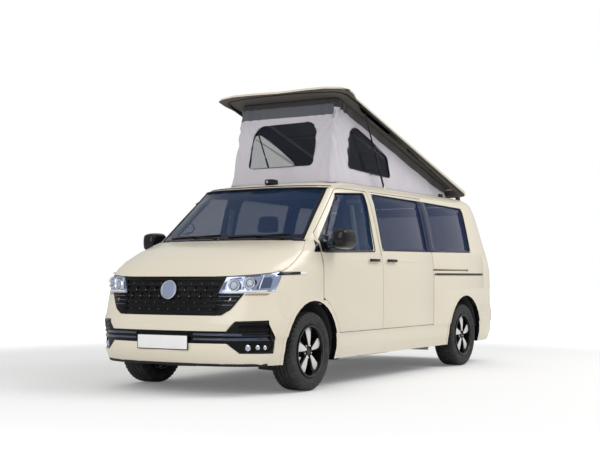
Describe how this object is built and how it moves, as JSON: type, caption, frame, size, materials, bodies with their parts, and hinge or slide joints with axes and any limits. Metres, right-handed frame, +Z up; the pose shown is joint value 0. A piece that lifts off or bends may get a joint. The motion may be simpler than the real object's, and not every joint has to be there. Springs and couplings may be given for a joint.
{
  "type": "camper van with a pop-top roof",
  "caption": "Long-wheelbase camper van with a rear-hinged pop-top roof raised over a canvas wall, hinged doors, bonnet and tailgate, steered front wheels and a hollow cabin.",
  "frame": {"origin": "on the ground, midway across the van and midway between its nose and its tail", "axes": "+X to the vehicle's left, +Y to its rear, +Z up"},
  "size_m": [2.297, 5.304, 2.8323],
  "materials": {
    "cream_paint": "glossy cream body paint",
    "roof_shell": "glossy cream moulded roof shell, black below",
    "gloss_black": "gloss black mouldings",
    "black_plastic": "textured black plastic",
    "tinted_glass": "dark tinted glass",
    "clear_lens": "clear lamp lens over bright reflectors",
    "red_lens": "red lamp lens",
    "tyre_rubber": "dark grey rubber",
    "alloy": "cast wheel, machined silver faces on black",
    "canvas": "pale lilac-grey woven canvas",
    "chassis_steel": "dark underbody coating",
    "cast_metal": "bare cast metal",
    "bright_steel": "ground piston rod",
    "seat_cloth": "dark seat cloth with grey panels",
    "trim_plastic": "dark grained trim",
    "cabinet_board": "grey laminated board"
  },
  "bodies": {
    "root": {"front_grille": "gloss_black", "lower_grille": "black_plastic", "front_bumper": "cream_paint", "rear_bumper": "cream_paint", "roof_frame": "cream_paint", "windscreen": "tinted_glass", "sliding_door": "cream_paint", "floor_pan": "chassis_steel", "firewall": "chassis_steel", "headlamp_left": "clear_lens", "headlamp_right": "clear_lens", "wing_left": "cream_paint", "wing_right": "cream_paint", "side_panel_left": "cream_paint", "side_panel_right": "cream_paint", "middle_glass_left": "tinted_glass", "middle_glass_right": "tinted_glass", "quarter_glass_left": "tinted_glass", "quarter_glass_right": "tinted_glass", "tail_lamp_left": "red_lens", "tail_lamp_right": "red_lens", "front_subframe": "chassis_steel", "rear_axle": "chassis_steel", "engine": "cast_metal", "canvas": "canvas", "dashboard": "trim_plastic", "steering_wheel": "trim_plastic", "seat_left": "seat_cloth", "seat_right": "seat_cloth", "rear_bench": "seat_cloth", "galley_unit": "cabinet_board", "fuel_tank": "black_plastic", "exhaust": "cast_metal", "scuttle": "black_plastic"},
    "pop_top": {"pop_top": "roof_shell"},
    "strut_cylinder_left": {"strut_cylinder_left": "black_plastic"},
    "strut_cylinder_right": {"strut_cylinder_right": "black_plastic"},
    "strut_rod_left": {"strut_rod_left": "bright_steel"},
    "strut_rod_right": {"strut_rod_right": "bright_steel"},
    "tailgate": {"tailgate": "cream_paint", "tailgate_glass": "tinted_glass"},
    "bonnet": {"bonnet": "cream_paint"},
    "door_left": {"door_left": "cream_paint", "door_glass_left": "tinted_glass", "mirror_left": "gloss_black"},
    "door_right": {"door_right": "cream_paint", "door_glass_right": "tinted_glass", "mirror_right": "gloss_black"},
    "knuckle_left": {"knuckle_left": "cast_metal"},
    "knuckle_right": {"knuckle_right": "cast_metal"},
    "wheel_front_left": {"tyre_front_left": "tyre_rubber", "rim_front_left": "alloy"},
    "wheel_front_right": {"tyre_front_right": "tyre_rubber", "rim_front_right": "alloy"},
    "wheel_rear_left": {"tyre_rear_left": "tyre_rubber", "rim_rear_left": "alloy"},
    "wheel_rear_right": {"tyre_rear_right": "tyre_rubber", "rim_rear_right": "alloy"}
  },
  "joints": [
    {"name": "pop_top_hinge", "type": "hinge", "parent": "root", "child": "pop_top", "pos_m": [0, 2.248, 1.935], "axis": [1, 0, 0], "range_deg": [0, 15.6], "deforming": ["canvas"]},
    {"name": "strut_left_pivot", "type": "hinge", "parent": "root", "child": "strut_cylinder_left", "pos_m": [0.66, 0.194, 1.925], "axis": [1, 0, 0], "range_deg": [0, 57.75]},
    {"name": "strut_right_pivot", "type": "hinge", "parent": "root", "child": "strut_cylinder_right", "pos_m": [-0.66, 0.194, 1.925], "axis": [1, 0, 0], "range_deg": [0, 57.75]},
    {"name": "strut_left_slide", "type": "slide", "parent": "strut_cylinder_left", "child": "strut_rod_left", "axis": [0, -0.5016, 0.8651], "range_m": [-0.3115, 0]},
    {"name": "strut_right_slide", "type": "slide", "parent": "strut_cylinder_right", "child": "strut_rod_right", "axis": [0, -0.5016, 0.8651], "range_m": [-0.3115, 0]},
    {"name": "tailgate_hinge", "type": "hinge", "parent": "root", "child": "tailgate", "pos_m": [0, 2.353, 1.8], "axis": [1, 0, 0], "range_deg": [0, 80]},
    {"name": "bonnet_hinge", "type": "hinge", "parent": "root", "child": "bonnet", "pos_m": [0, -1.582, 1.3], "axis": [-1, 0, 0], "range_deg": [0, 50]},
    {"name": "door_left_hinge", "type": "hinge", "parent": "root", "child": "door_left", "pos_m": [0.93, -1.536, 1.01], "axis": [0, 0, -1], "range_deg": [0, 65]},
    {"name": "door_right_hinge", "type": "hinge", "parent": "root", "child": "door_right", "pos_m": [-0.93, -1.536, 1.01], "axis": [0, 0, 1], "range_deg": [0, 65]},
    {"name": "steer_left", "type": "hinge", "parent": "root", "child": "knuckle_left", "pos_m": [0.74, -1.743, 0.345], "axis": [0, 0, 1], "range_deg": [-35, 35]},
    {"name": "steer_right", "type": "hinge", "parent": "root", "child": "knuckle_right", "pos_m": [-0.74, -1.743, 0.345], "axis": [0, 0, 1], "range_deg": [-35, 35]},
    {"name": "wheel_front_left_spin", "type": "hinge", "parent": "knuckle_left", "child": "wheel_front_left", "pos_m": [0.814, -1.743, 0.345], "axis": [1, 0, 0], "continuous": true},
    {"name": "wheel_front_right_spin", "type": "hinge", "parent": "knuckle_right", "child": "wheel_front_right", "pos_m": [-0.814, -1.743, 0.345], "axis": [1, 0, 0], "continuous": true},
    {"name": "wheel_rear_left_spin", "type": "hinge", "parent": "root", "child": "wheel_rear_left", "pos_m": [0.814, 1.657, 0.345], "axis": [1, 0, 0], "continuous": true},
    {"name": "wheel_rear_right_spin", "type": "hinge", "parent": "root", "child": "wheel_rear_right", "pos_m": [-0.814, 1.657, 0.345], "axis": [1, 0, 0], "continuous": true}
  ],
  "couplings": [
    {"joint": "strut_left_pivot", "follows": "pop_top_hinge", "ratio": 3.695},
    {"joint": "strut_right_pivot", "follows": "pop_top_hinge", "ratio": 3.695},
    {"joint": "strut_left_slide", "follows": "pop_top_hinge", "m_per_rad": -1.141},
    {"joint": "strut_right_slide", "follows": "pop_top_hinge", "m_per_rad": -1.141},
    {"joint": "steer_right", "follows": "steer_left", "ratio": 1}
  ]
}
